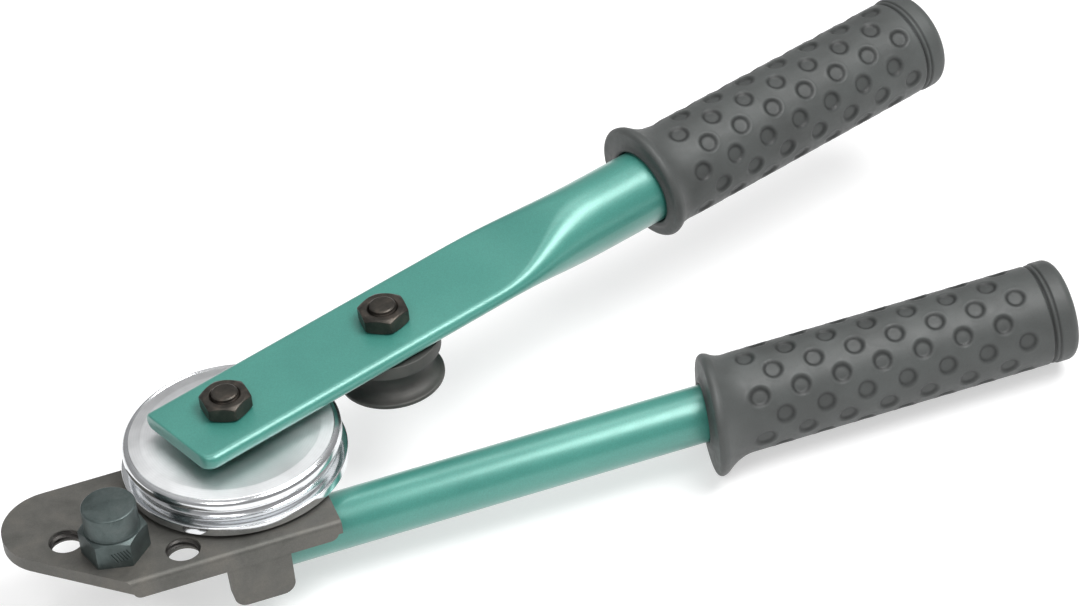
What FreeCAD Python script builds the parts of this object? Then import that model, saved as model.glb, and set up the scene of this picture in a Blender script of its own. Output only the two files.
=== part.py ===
import FreeCAD, Part
import Sketcher
import math
import os

# Scroll bender: a hand tool that curls bar and strip round a grooved wheel.
# A plate with a tab is held in a vice.  The wheel turns on the pivot bolt, a
# long lever swings about the same bolt and carries a pressing roller, and a
# fixed handle tube is welded under the plate.
#
# Frame, millimetres: origin on the pivot axis at the top face of the plate,
# +Z up along the pivot, +X along the fixed handle towards its grip, +Y away
# from the vice tab.

V = FreeCAD.Vector
Rot = FreeCAD.Rotation
Pla = FreeCAD.Placement

doc = FreeCAD.newDocument("scroll_bender")
sheet = doc.addObject("Spreadsheet::Sheet", "dims")


# ---------------------------------------------------------------- dimensions
class Size:
    """A length with its number and the sheet expression that drives it."""

    def __init__(self, value, text):
        self.v = float(value)
        self.t = text

    def __add__(self, o):
        o = size(o)
        return Size(self.v + o.v, "(%s + %s)" % (self.t, o.t))

    def __radd__(self, o):
        return size(o) + self

    def __sub__(self, o):
        o = size(o)
        return Size(self.v - o.v, "(%s - %s)" % (self.t, o.t))

    def __rsub__(self, o):
        return size(o) - self

    def __mul__(self, o):
        o = size(o)
        return Size(self.v * o.v, "(%s * %s)" % (self.t, o.t))

    def __rmul__(self, o):
        return size(o) * self

    def __truediv__(self, o):
        o = size(o)
        return Size(self.v / o.v, "(%s / %s)" % (self.t, o.t))

    def __neg__(self):
        return Size(-self.v, "(0 - %s)" % self.t)

    def driven(self):
        return "dims." in self.t


def size(x):
    if isinstance(x, Size):
        return x
    return Size(x, "%.6f" % x if x >= 0 else "(0 - %.6f)" % -x)


cells = [
    # plate
    ("plate_thick", 5.0), ("plate_right", 24.0), ("plate_back", 14.0),
    ("plate_front", -44.4), ("plate_nose_x", -65.5), ("plate_nose_y", -4.5),
    ("plate_nose_rad", 18.5), ("plate_cut_x", -49.5), ("plate_corner_rad", 10.0),
    ("flange_drop", 7.2), ("flange_thick", 5.0), ("flange_right", 22.5),
    ("flange_corner", 3.0), ("bend_rad", 2.0),
    ("tab_left", -16.6), ("tab_right", 5.4), ("tab_drop", 24.0),
    ("tab_setback", 0.4), ("tab_corner", 4.5), ("tab_taper", 0.7),
    ("stop_x", -49.5), ("stop_y", -24.6),
    ("hole_far_x", -64.2), ("hole_far_y", -13.8),
    ("hole_near_x", -28.9), ("hole_near_y", -34.8),
    ("screw_hole_rad", 6.0), ("pivot_hole_rad", 5.1),
    # stop
    ("stop_hex_af", 20.5), ("stop_hex_tall", 10.0), ("stop_hex_bevel", 0.3),
    ("stop_post_rad", 9.4), ("stop_top", 19.3), ("stop_shank_rad", 5.95),
    ("stop_shank_end", -7.0), ("stop_angle", -15.0),
    # fixed handle
    ("low_tube_rad", 10.0), ("low_tube_wall", 2.0), ("low_tube_y", -26.0),
    ("low_tube_z", -15.0), ("low_tube_start", -6.0), ("low_tube_end", 288.9),
    ("weld_inner", 3.5), ("weld_outer", 10.0), ("weld_tube_rad", 10.02),
    ("weld_foot", 8.5), ("weld_start", -6.0), ("weld_end", 23.0),
    # wheel
    ("wheel_rad", 37.7), ("wheel_low_rad", 38.9), ("wheel_bottom", 1.0), ("wheel_top", 15.0),
    ("wheel_flat_rad", 31.0), ("wheel_shoulder_rad", 35.2),
    ("wheel_shoulder_z", 14.5), ("wheel_side_z", 12.3),
    ("groove_mid_z", 7.85), ("groove_half", 3.15), ("groove_centre_rad", 35.9),
    ("groove_lip", 0.5), ("wheel_bore_rad", 8.0), ("bush_bore_rad", 5.05),
    ("thrust_thick", 0.95), ("thrust_rad", 14.0), ("thrust_bore", 5.3),
    # bolts and nuts
    ("bolt_rad", 5.0), ("bolt_top", 32.1), ("nut_af", 16.0), ("nut_tall", 6.0),
    ("nut_bevel_rad", 7.55), ("pivot_nut_z", 24.9), ("head_tall", 6.4),
    ("washer_thick", 2.0), ("washer_rad", 10.0), ("washer_bore", 5.25),
    ("pivot_nut_angle", -84.0), ("roller_nut_angle", -90.0),
    ("spacer_rad", 10.0), ("spacer_bottom", 15.05), ("pivot_spacer_top", 18.95),
    # lever
    ("lever_angle", 19.93), ("lever_skew", 1.343), ("lever_shift", 0.5),
    ("lever_bottom", 19.0), ("lever_flat_half", 2.9), ("lever_flat_wide", 18.7),
    ("lever_tail", 21.4), ("lever_tail_corner", 4.5), ("lever_tail_back", 1.5),
    ("lever_tube_rad", 13.5),
    ("lever_tube_z", 22.0), ("lever_wall", 2.3), ("lever_end", 303.0),
    ("lever_bush_rad", 7.5),
    # roller
    ("roller_reach", 66.9), ("roller_shift", -0.84), ("roller_rad", 18.55),
    ("roller_bottom", 0.3), ("roller_top", 18.2), ("roller_groove_rad", 5.6),
    ("roller_groove_z", 7.5), ("roller_washer_z", 18.25),
    ("roller_counter_rad", 9.8), ("roller_counter_z", 6.5),
    ("roller_bore_rad", 8.0), ("roller_head_rad", 9.0),
    ("roller_head_low", 1.3), ("roller_head_high", 6.4), ("socket_af", 8.0),
    ("socket_deep", 3.2),
    # grips
    ("grip_rad", 17.8), ("grip_cap_rad", 18.1),
    ("grip_cap_long", 8.0), ("grip_ring_deep", 0.9), ("grip_ring_wide", 1.6),
    ("grip_end_round", 3.0), ("grip_end_wall", 5.0), ("flare_rad", 21.4),
    ("flare_thick", 3.5), ("flare_long", 10.0), ("flare_round", 1.2), ("flare_rise", 1.2),
    ("low_flare_shift", -2.28), ("up_flare_shift", 1.92),
    ("collar_out", 1.2), ("collar_wide", 2.6),
    ("low_grip_start", 160.5), ("low_grip_end", 293.9),
    ("up_grip_start", 180.8), ("up_grip_end", 308.5),
]
dim = {}
for row, (name, number) in enumerate(cells, 1):
    sheet.set("A%d" % row, name)
    sheet.set("B%d" % row, "%.3f" % number)
    sheet.setAlias("B%d" % row, name)
    dim[name] = Size(number, "dims." + name)
doc.recompute()
d = dim


# ------------------------------------------------------------------- helpers
def new_body(label):
    body = doc.addObject("PartDesign::Body", label)
    body.Label = label
    return body


def place(body, x=0, y=0, z=0, turn=0):
    """Sets the body's own placement, driven by the sheet."""
    x, y, z, turn = size(x), size(y), size(z), size(turn)
    body.Placement = Pla(V(x.v, y.v, z.v), Rot(V(0, 0, 1), turn.v))
    for key, q in (("x", x), ("y", y), ("z", z)):
        if q.driven():
            body.setExpression("Placement.Base." + key, q.t)
    if turn.driven():
        body.setExpression("Placement.Rotation.Angle", turn.t)


def new_sketch(body, role, offset=0, name="outline", lean=(0, 0)):
    """A sketch on one of the body's origin planes, moved along its normal.

    lean tips it: its rise along the normal for each mm along its X and its Y.
    """
    plane = [f for f in body.Origin.OriginFeatures if f.Role == role][0]
    sk = body.newObject("Sketcher::SketchObject", body.Name + "_" + name)
    sk.AttachmentSupport = [(plane, "")]
    sk.MapMode = "FlatFace"
    offset = size(offset)
    tip = Rot()
    if any(lean):
        tip = Rot(V(lean[1], -lean[0], 0), math.degrees(math.atan(math.hypot(*lean))))
    sk.AttachmentOffset = Pla(V(0, 0, offset.v), tip)
    if offset.driven():
        sk.setExpression("AttachmentOffset.Base.z", offset.t)
    return sk


def bind(sk, kind, args, q):
    """Adds a dimension to the sketch and lets the sheet drive it."""
    q = size(q)
    i = sk.addConstraint(Sketcher.Constraint(kind, *args, q.v))
    if q.driven():
        sk.setExpression("Constraints[%d]" % i, q.t)


def pin(sk, geo, pos, x, y):
    """Holds a point of the sketch at (x, y)."""
    x, y = size(x), size(y)
    if x.v == 0.0 and not x.driven():
        sk.addConstraint(Sketcher.Constraint("PointOnObject", geo, pos, -2))
    else:
        bind(sk, "DistanceX", (-1, 1, geo, pos), x)
    if y.v == 0.0 and not y.driven():
        sk.addConstraint(Sketcher.Constraint("PointOnObject", geo, pos, -1))
    else:
        bind(sk, "DistanceY", (-1, 1, geo, pos), y)


def add_circle(sk, x, y, rad):
    x, y, rad = size(x), size(y), size(rad)
    g = sk.addGeometry(Part.Circle(V(x.v, y.v, 0), V(0, 0, 1), rad.v), False)
    pin(sk, g, 3, x, y)
    bind(sk, "Radius", (g,), rad)


def add_profile(sk, pts, arcs=None):
    """A closed outline.  arcs maps a side's number to (cx, cy, radius, ccw)."""
    arcs = arcs or {}
    pts = [(size(x), size(y)) for x, y in pts]
    n = len(pts)
    ids, heads, tails = [], [], []
    for i in range(n):
        (ax, ay), (bx, by) = pts[i], pts[(i + 1) % n]
        if i in arcs:
            cx, cy, rad, ccw = arcs[i]
            cx, cy, rad = size(cx), size(cy), size(rad)
            a0 = math.atan2(ay.v - cy.v, ax.v - cx.v)
            a1 = math.atan2(by.v - cy.v, bx.v - cx.v)
            if not ccw:
                a0, a1 = a1, a0
            while a1 <= a0:
                a1 += 2 * math.pi
            ring = Part.Circle(V(cx.v, cy.v, 0), V(0, 0, 1), rad.v)
            g = sk.addGeometry(Part.ArcOfCircle(ring, a0, a1), False)
            heads.append(1 if ccw else 2)
            tails.append(2 if ccw else 1)
            chord = math.hypot(bx.v - ax.v, by.v - ay.v)
            if abs(chord - 2 * rad.v) > 1e-4:
                bind(sk, "Radius", (g,), rad)
            elif abs(bx.v - ax.v) < abs(by.v - ay.v):
                # half circle: its centre's place along the middle line
                if cx.v == 0.0:
                    sk.addConstraint(Sketcher.Constraint("PointOnObject", g, 3, -2))
                else:
                    bind(sk, "DistanceX", (-1, 1, g, 3), cx)
            else:
                bind(sk, "DistanceY", (-1, 1, g, 3), cy)
        else:
            line = Part.LineSegment(V(ax.v, ay.v, 0), V(bx.v, by.v, 0))
            g = sk.addGeometry(line, False)
            heads.append(1)
            tails.append(2)
        ids.append(g)
    for i in range(n):
        k = (i + 1) % n
        sk.addConstraint(Sketcher.Constraint("Coincident", ids[i], tails[i], ids[k], heads[k]))
    for i in range(n):
        pin(sk, ids[i], heads[i], pts[i][0], pts[i][1])


def hexagon(flats):
    """Corner points of a hexagon, its first corner on +X."""
    rad = size(flats) * (1 / math.sqrt(3))
    return [(rad * round(math.cos(math.radians(60 * k)), 9),
             rad * round(math.sin(math.radians(60 * k)), 9)) for k in range(6)]


def feature(body, kind, sk, name):
    f = body.newObject("PartDesign::" + kind, body.Name + "_" + name)
    f.Profile = sk
    sk.Visibility = False
    return f


def extrude(body, sk, long, kind="Pad", name="pad", back=False):
    long = size(long)
    f = feature(body, kind, sk, name)
    f.Length = long.v
    if long.driven():
        f.setExpression("Length", long.t)
    f.Reversed = back
    doc.recompute()
    return f


def turn(body, sk, axis="V_Axis", kind="Revolution", name="turned"):
    f = feature(body, kind, sk, name)
    f.ReferenceAxis = (sk, [axis])
    f.Angle = 360.0
    doc.recompute()
    return f


def loft(body, sketches, kind="AdditiveLoft", name="loft"):
    f = feature(body, kind, sketches[0], name)
    f.Sections = [(s, [""]) for s in sketches[1:]]
    f.Ruled = False
    doc.recompute()
    return f


def edges(base, test):
    """Names of the edges whose middle point and shape pass the test."""
    out = []
    for i, e in enumerate(base.Shape.Edges, 1):
        mid = e.valueAt((e.FirstParameter + e.LastParameter) / 2)
        if test(e, mid):
            out.append("Edge%d" % i)
    return out


def dress(body, base, names, amount, kind="Fillet", name="round"):
    amount = size(amount)
    f = body.newObject("PartDesign::" + kind, body.Name + "_" + name)
    f.Base = (base, names)
    key = "Radius" if kind == "Fillet" else "Size"
    setattr(f, key, amount.v)
    if amount.driven():
        f.setExpression(key, amount.t)
    doc.recompute()
    return f


def ring_body(label, inner, outer, low, high):
    """A plain ring: bush, washer or distance ring."""
    body = new_body(label)
    sk = new_sketch(body, "XY_Plane", low)
    add_circle(sk, 0, 0, outer)
    add_circle(sk, 0, 0, inner)
    extrude(body, sk, size(high) - low, name="ring")
    return body


# --------------------------------------------------------------- base plate
# One pressed steel piece: the plate with a round nose, its front edge bent
# down, and the tab that goes into the vice.
base = new_body("base_plate")
sk = new_sketch(base, "XY_Plane", name="plan")
cut_angle = math.radians(227.34)
nose_x = d["plate_nose_x"] + d["plate_nose_rad"] * math.cos(cut_angle)
nose_y = d["plate_nose_y"] + d["plate_nose_rad"] * math.sin(cut_angle)
add_profile(sk, [
    (d["plate_right"], d["plate_front"]),
    (d["plate_right"], d["plate_back"] - d["plate_corner_rad"]),
    (d["plate_right"] - d["plate_corner_rad"], d["plate_back"]),
    (d["plate_nose_x"], d["plate_back"]),
    (nose_x, nose_y),
    (d["plate_cut_x"], d["plate_front"]),
], {
    1: (d["plate_right"] - d["plate_corner_rad"], d["plate_back"] - d["plate_corner_rad"],
        d["plate_corner_rad"], True),
    3: (d["plate_nose_x"], d["plate_nose_y"], d["plate_nose_rad"], True),
})
extrude(base, sk, d["plate_thick"], name="plate", back=True)

sk = new_sketch(base, "XZ_Plane", -d["plate_front"], name="flange_face")
add_profile(sk, [
    (d["plate_cut_x"] + d["flange_corner"], -d["flange_drop"]),
    (d["flange_right"] - d["flange_corner"], -d["flange_drop"]),
    (d["flange_right"], d["flange_corner"] - d["flange_drop"]),
    (d["flange_right"], -1.0),
    (d["plate_cut_x"], -1.0),
    (d["plate_cut_x"], d["flange_corner"] - d["flange_drop"]),
], {1: (d["flange_right"] - d["flange_corner"], d["flange_corner"] - d["flange_drop"],
        d["flange_corner"], True),
    5: (d["plate_cut_x"] + d["flange_corner"], d["flange_corner"] - d["flange_drop"],
        d["flange_corner"], True)})
extrude(base, sk, d["flange_thick"], name="flange", back=True)

sk = new_sketch(base, "XZ_Plane", -d["plate_front"] - d["tab_setback"], name="tab_face")
add_profile(sk, [
    (d["tab_left"] + d["tab_taper"] + d["tab_corner"], -d["tab_drop"]),
    (d["tab_right"] - d["tab_corner"], -d["tab_drop"]),
    (d["tab_right"], d["tab_corner"] - d["tab_drop"]),
    (d["tab_right"], -4.0),
    (d["tab_left"], -4.0),
    (d["tab_left"] + d["tab_taper"], d["tab_corner"] - d["tab_drop"]),
], {
    1: (d["tab_right"] - d["tab_corner"], d["tab_corner"] - d["tab_drop"], d["tab_corner"], True),
    5: (d["tab_left"] + d["tab_taper"] + d["tab_corner"], d["tab_corner"] - d["tab_drop"],
        d["tab_corner"], True),
})
tab = extrude(base, sk, d["flange_thick"], name="tab", back=True)

front_edge = edges(tab, lambda e, m: abs(m.z) < 1e-3 and abs(m.y - d["plate_front"].v) < 1e-3)
dress(base, tab, front_edge, d["bend_rad"], name="bend")

sk = new_sketch(base, "XY_Plane", name="holes")
add_circle(sk, 0, 0, d["pivot_hole_rad"])
add_circle(sk, d["stop_x"], d["stop_y"], d["screw_hole_rad"])
add_circle(sk, d["hole_far_x"], d["hole_far_y"], d["screw_hole_rad"])
add_circle(sk, d["hole_near_x"], d["hole_near_y"], d["screw_hole_rad"])
extrude(base, sk, d["plate_thick"] + 1.0, kind="Pocket", name="holes_cut")

# ---------------------------------------------------------------- stop post
# Hexagon foot to tighten it, a round post above and a threaded shank below.
stop = new_body("stop_post")
sk = new_sketch(stop, "XY_Plane", name="foot")
add_profile(sk, hexagon(d["stop_hex_af"]))
foot = extrude(stop, sk, d["stop_hex_tall"], name="hexagon")
low = edges(foot, lambda e, m: abs(m.z) < 1e-3)
dress(stop, foot, low, d["stop_hex_bevel"], kind="Chamfer", name="bevel")
sk = new_sketch(stop, "XY_Plane", name="post_circle")
add_circle(sk, 0, 0, d["stop_post_rad"])
post = extrude(stop, sk, d["stop_top"], name="post")
rim = edges(post, lambda e, m: abs(m.z - d["stop_top"].v) < 1e-3)
dress(stop, post, rim, 0.6, kind="Chamfer", name="rim")
sk = new_sketch(stop, "XY_Plane", name="shank_circle")
add_circle(sk, 0, 0, d["stop_shank_rad"])
shank = extrude(stop, sk, -d["stop_shank_end"], name="shank", back=True)
tip = edges(shank, lambda e, m: abs(m.z - d["stop_shank_end"].v) < 1e-3)
dress(stop, shank, tip, 0.8, kind="Chamfer", name="tip")
place(stop, d["stop_x"], d["stop_y"], 0, d["stop_angle"])

# ------------------------------------------------------------- fixed handle
tube = new_body("lower_tube")
sk = new_sketch(tube, "YZ_Plane", d["low_tube_start"])
add_circle(sk, d["low_tube_y"], d["low_tube_z"], d["low_tube_rad"])
add_circle(sk, d["low_tube_y"], d["low_tube_z"], d["low_tube_rad"] - d["low_tube_wall"])
extrude(tube, sk, d["low_tube_end"] - d["low_tube_start"], name="tube")

# Two fillet welds lie in the corners between the tube and the plate.
for label, side in (("tube_weld_front", -1), ("tube_weld_back", 1)):
    bead = new_body(label)
    sk = new_sketch(bead, "YZ_Plane", d["weld_start"])
    rad = d["weld_tube_rad"].v
    z_in = d["low_tube_z"].v + math.sqrt(rad ** 2 - d["weld_inner"].v ** 2)
    z_foot = d["low_tube_z"].v + math.sqrt(rad ** 2 - d["weld_foot"].v ** 2)
    yc, zc = d["low_tube_y"], d["low_tube_z"]
    a = (yc + side * d["weld_inner"], -d["plate_thick"])
    b = (yc + side * d["weld_outer"], -d["plate_thick"])
    c = (yc + side * d["weld_foot"], size(z_foot))
    e = (yc + side * d["weld_inner"], size(z_in))
    # the crown bulges a little: its arc has a radius of one and a half chords
    chord = math.hypot(b[0].v - c[0].v, b[1].v - c[1].v)
    crown = 1.5 * chord
    mx, my = (b[0].v + c[0].v) / 2, (b[1].v + c[1].v) / 2
    ux, uy = (c[0].v - b[0].v) / chord, (c[1].v - b[1].v) / chord
    off = math.sqrt(crown ** 2 - (chord / 2) ** 2)
    nx, ny = (-uy, ux) if side < 0 else (uy, -ux)
    if nx * side > 0:
        nx, ny = -nx, -ny
    crown_ccw = side < 0
    add_profile(sk, [a, b, c, e], {
        1: (mx + nx * off, my + ny * off, crown, crown_ccw),
        2: (yc, zc, d["weld_tube_rad"], side > 0),
    })
    extrude(bead, sk, d["weld_end"] - d["weld_start"], name="bead")

# ------------------------------------------------------------------- wheel
# Turned aluminium: flat top, slightly sloped bright shoulder, rounded rim
# and a deep U groove for the bar.
wheel = new_body("forming_wheel")
sk = new_sketch(wheel, "XZ_Plane", name="half_section")
zt, zb = d["wheel_top"], d["wheel_bottom"]
g_top = d["groove_mid_z"] + d["groove_half"]
g_low = d["groove_mid_z"] - d["groove_half"]
lip = d["groove_lip"]
# arc from the shoulder's foot to the rim side
ax_, az_ = d["wheel_shoulder_rad"].v, d["wheel_shoulder_z"].v
bx_, bz_ = d["wheel_rad"].v, d["wheel_side_z"].v
# centre on the rim side's normal so the arc meets the side smoothly
rr = ((bx_ - ax_) ** 2 + (az_ - bz_) ** 2) / (2 * (bx_ - ax_))
add_profile(sk, [
    (d["wheel_bore_rad"], zb),                                   # 0
    (d["wheel_low_rad"] - 0.6, zb),                              # 1
    (d["wheel_low_rad"], zb + 0.6),                              # 2
    (d["wheel_low_rad"], g_low - lip),                           # 3
    (d["wheel_low_rad"] - lip, g_low),                           # 4
    (d["groove_centre_rad"], g_low),                             # 5
    (d["groove_centre_rad"], g_top),                             # 6
    (d["wheel_rad"] - lip, g_top),                               # 7
    (d["wheel_rad"], g_top + lip),                               # 8
    (d["wheel_rad"], d["wheel_side_z"]),                         # 9
    (d["wheel_shoulder_rad"], d["wheel_shoulder_z"]),            # 10
    (d["wheel_flat_rad"], zt),                                   # 11
    (d["wheel_bore_rad"], zt),                                   # 12
], {
    1: (d["wheel_low_rad"] - 0.6, zb + 0.6, 0.6, True),
    3: (d["wheel_low_rad"] - lip, g_low - lip, lip, True),
    5: (d["groove_centre_rad"], d["groove_mid_z"], d["groove_half"], False),
    7: (d["wheel_rad"] - lip, g_top + lip, lip, True),
    9: (bx_ - rr, bz_, rr, True),
})
turn(wheel, sk)

bush = ring_body("wheel_bush", d["bush_bore_rad"], d["wheel_bore_rad"],
                 d["wheel_bottom"], d["wheel_top"])
thrust = ring_body("wheel_thrust_washer", d["thrust_bore"], d["thrust_rad"],
                   0, d["thrust_thick"])

# ------------------------------------------------------- pivot bolt and nut
bolt = new_body("pivot_bolt")
head_top = -d["plate_thick"] - d["washer_thick"]
sk = new_sketch(bolt, "XY_Plane", head_top, name="head_hexagon")
add_profile(sk, hexagon(d["nut_af"]))
extrude(bolt, sk, d["head_tall"], name="head", back=True)
sk = new_sketch(bolt, "XY_Plane", head_top, name="shank_circle")
add_circle(sk, 0, 0, d["bolt_rad"])
shank = extrude(bolt, sk, d["bolt_top"] - head_top, name="shank")
tip = edges(shank, lambda e, m: abs(m.z - d["bolt_top"].v) < 1e-3)
dress(bolt, shank, tip, 0.6, kind="Chamfer", name="tip")
sk = new_sketch(bolt, "XZ_Plane", name="head_bevel")
head_low = head_top - d["head_tall"]
add_profile(sk, [(d["nut_bevel_rad"], head_low), (d["nut_bevel_rad"] + 2.2, head_low),
                 (d["nut_bevel_rad"] + 2.2, head_low + 1.27)])
turn(bolt, sk, kind="Groove", name="bevel")

washer = ring_body("pivot_washer", d["washer_bore"], d["washer_rad"],
                   head_top, -d["plate_thick"])
spacer = ring_body("pivot_spacer", d["bolt_rad"], d["spacer_rad"],
                   d["spacer_bottom"], d["pivot_spacer_top"])


def thin_nut(label, low_z):
    """A thin hexagon nut with bevelled corners on both faces."""
    nut = new_body(label)
    sk = new_sketch(nut, "XY_Plane", low_z, name="hexagon")
    add_profile(sk, hexagon(d["nut_af"]))
    add_circle(sk, 0, 0, d["bolt_rad"])
    extrude(nut, sk, d["nut_tall"], name="block")
    sk = new_sketch(nut, "XZ_Plane", name="bevels")
    r0, r1 = d["nut_bevel_rad"], d["nut_bevel_rad"] + 2.2
    z0, z1 = size(low_z), low_z + d["nut_tall"]
    add_profile(sk, [(r0, z1), (r1, z1 - 1.27), (r1, z1)])
    add_profile(sk, [(r0, z0), (r1, z0), (r1, z0 + 1.27)])
    turn(nut, sk, kind="Groove", name="bevel")
    return nut


nut = thin_nut("pivot_nut", d["pivot_nut_z"])
place(nut, turn=d["pivot_nut_angle"])

# -------------------------------------------------------------------- lever
# A round tube whose end is pressed flat.  The body's frame runs along the
# flat's centre line; the round part leaves it by a small skew.
lever = new_body("upper_lever")
half = d["lever_flat_half"]
mid_z = d["lever_bottom"] + half
skew = math.radians(d["lever_skew"].v)


def section(name, x, k, inset=0.0):
    """Cross-section at x: k = 0 pressed flat, k = 1 round."""
    sk = lever.newObject("Sketcher::SketchObject", "upper_lever_" + name)
    plane = [f for f in lever.Origin.OriginFeatures if f.Role == "YZ_Plane"][0]
    sk.AttachmentSupport = [(plane, "")]
    sk.MapMode = "FlatFace"
    y = (d["lever_shift"] - x * math.tan(skew)) * k
    z = mid_z + (d["lever_tube_z"] - mid_z) * k
    sk.AttachmentOffset = Pla(V(y.v, z.v, x), Rot(V(0, 1, 0), -d["lever_skew"].v * k))
    if k > 0:
        sk.setExpression("AttachmentOffset.Base.x", y.t)
    sk.setExpression("AttachmentOffset.Base.y", z.t)
    tall = half + (d["lever_tube_rad"] - half) * k - inset
    wide = d["lever_flat_wide"] + (d["lever_tube_rad"] - d["lever_flat_wide"]) * k - inset
    if k >= 1:
        # a full circle in four arcs, so that it matches the other sections
        sx, sz = tall * math.sin(math.radians(5)), tall * math.cos(math.radians(5))
        add_profile(sk, [(-sx, -sz), (sx, -sz), (sx, sz), (-sx, sz)], {
            0: (0, 0, tall, True), 1: (0, 0, tall, True),
            2: (0, 0, tall, True), 3: (0, 0, tall, True)})
    else:
        run = wide - tall
        add_profile(sk, [(-run, -tall), (run, -tall), (run, tall), (-run, tall)], {
            1: (run, 0, tall, True), 3: (-run, 0, tall, True)})
    return sk


steps = [(98.0, 0.0), (104.0, 0.0), (112.0, 0.06), (120.0, 0.22), (128.0, 0.45),
         (136.0, 0.68), (144.0, 0.87), (152.0, 0.97), (160.0, 1.0), (166.0, 1.0)]
sk = section("flat_start", 98.0, 0.0)
extrude(lever, sk, d["lever_tail"] + 98.0, name="flat", back=True)
loft(lever, [section("outer_%d" % i, x, k) for i, (x, k) in enumerate(steps)], name="neck")
sk = section("round_start", 166.0, 1.0)
extrude(lever, sk, d["lever_end"] - 166.0 / math.cos(skew), name="round")
# the hollow inside, from a closed slit at the neck to the open tube
hollow = [(x, k) for x, k in steps if x >= 112.0]
loft(lever, [section("inner_%d" % i, x, k, d["lever_wall"]) for i, (x, k) in enumerate(hollow)],
     kind="SubtractiveLoft", name="hollow")
sk = section("bore_start", 166.0, 1.0, d["lever_wall"])
extrude(lever, sk, d["lever_end"] - 160.0, kind="Pocket", name="bore", back=True)
# holes for the pivot bush and the roller bolt
sk = new_sketch(lever, "XY_Plane", d["lever_bottom"] + 6.0, name="holes")
add_circle(sk, 0, 0, d["lever_bush_rad"])
add_circle(sk, d["roller_reach"], d["roller_shift"], d["bolt_rad"] + 0.05)
extrude(lever, sk, 8.0, kind="Pocket", name="holes_cut")
# the two corners of the flat's end are rounded off
sk = new_sketch(lever, "XY_Plane", d["lever_bottom"] + 6.0, name="corners")
tail, wide = d["lever_tail"], d["lever_flat_wide"]
for s, rc in ((1, d["lever_tail_back"]), (-1, d["lever_tail_corner"])):
    add_profile(sk, [
        (-tail - 1.0, s * (wide + 1.0)), (rc - tail, s * (wide + 1.0)),
        (rc - tail, s * wide), (-tail, s * (wide - rc)), (-tail - 1.0, s * (wide - rc)),
    ], {2: (rc - tail, s * (wide - rc), rc, s > 0)})
extrude(lever, sk, 8.0, kind="Pocket", name="corners_cut")
place(lever, turn=d["lever_angle"])

lever_bush = ring_body("lever_bush", d["bush_bore_rad"], d["lever_bush_rad"],
                       d["lever_bottom"], d["lever_bottom"] + 2 * half)

# ------------------------------------------------------------------- roller
lever_rad = math.radians(d["lever_angle"].v)
roller_x = d["roller_reach"] * math.cos(lever_rad) - d["roller_shift"] * math.sin(lever_rad)
roller_y = d["roller_reach"] * math.sin(lever_rad) + d["roller_shift"] * math.cos(lever_rad)

roller = new_body("press_roller")
sk = new_sketch(roller, "XZ_Plane", name="half_section")
rr, rb, rt = d["roller_rad"], d["roller_bottom"], d["roller_top"]
gz, gr = d["roller_groove_z"], d["roller_groove_rad"]
add_profile(sk, [
    (d["roller_counter_rad"], rb),
    (rr - 0.5, rb),
    (rr, rb + 0.5),
    (rr, gz - gr),
    (rr, gz + gr),
    (rr, rt - 0.4),
    (rr - 0.4, rt),
    (d["roller_bore_rad"], rt),
    (d["roller_bore_rad"], d["roller_counter_z"]),
    (d["roller_counter_rad"], d["roller_counter_z"]),
], {
    1: (rr - 0.5, rb + 0.5, 0.5, True),
    3: (rr, gz, gr, False),
    5: (rr - 0.4, rt - 0.4, 0.4, True),
})
turn(roller, sk)
place(roller, roller_x, roller_y)

roller_bush = ring_body("roller_bush", d["bush_bore_rad"], d["roller_bore_rad"],
                        d["roller_counter_z"], d["roller_top"])
place(roller_bush, roller_x, roller_y)
roller_spacer = ring_body("roller_spacer", d["bolt_rad"], d["spacer_rad"],
                          d["roller_washer_z"], d["lever_bottom"])
place(roller_spacer, roller_x, roller_y)

rbolt = new_body("roller_bolt")
sk = new_sketch(rbolt, "XZ_Plane", name="half_section")
hl, hh = d["roller_head_low"], d["roller_head_high"]
add_profile(sk, [
    (0, hl), (d["roller_head_rad"] - 0.5, hl), (d["roller_head_rad"], hl + 0.5),
    (d["roller_head_rad"], hh), (d["bolt_rad"], hh),
    (d["bolt_rad"], d["bolt_top"] - 0.6), (d["bolt_rad"] - 0.6, d["bolt_top"]),
    (0, d["bolt_top"]),
])
turn(rbolt, sk)
sk = new_sketch(rbolt, "XY_Plane", hl, name="socket_hexagon")
add_profile(sk, hexagon(d["socket_af"]))
extrude(rbolt, sk, d["socket_deep"], kind="Pocket", name="socket", back=True)
place(rbolt, roller_x, roller_y)

rnut = thin_nut("roller_nut", d["lever_bottom"] + 2 * half)
place(rnut, roller_x, roller_y, 0, d["roller_nut_angle"])


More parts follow.
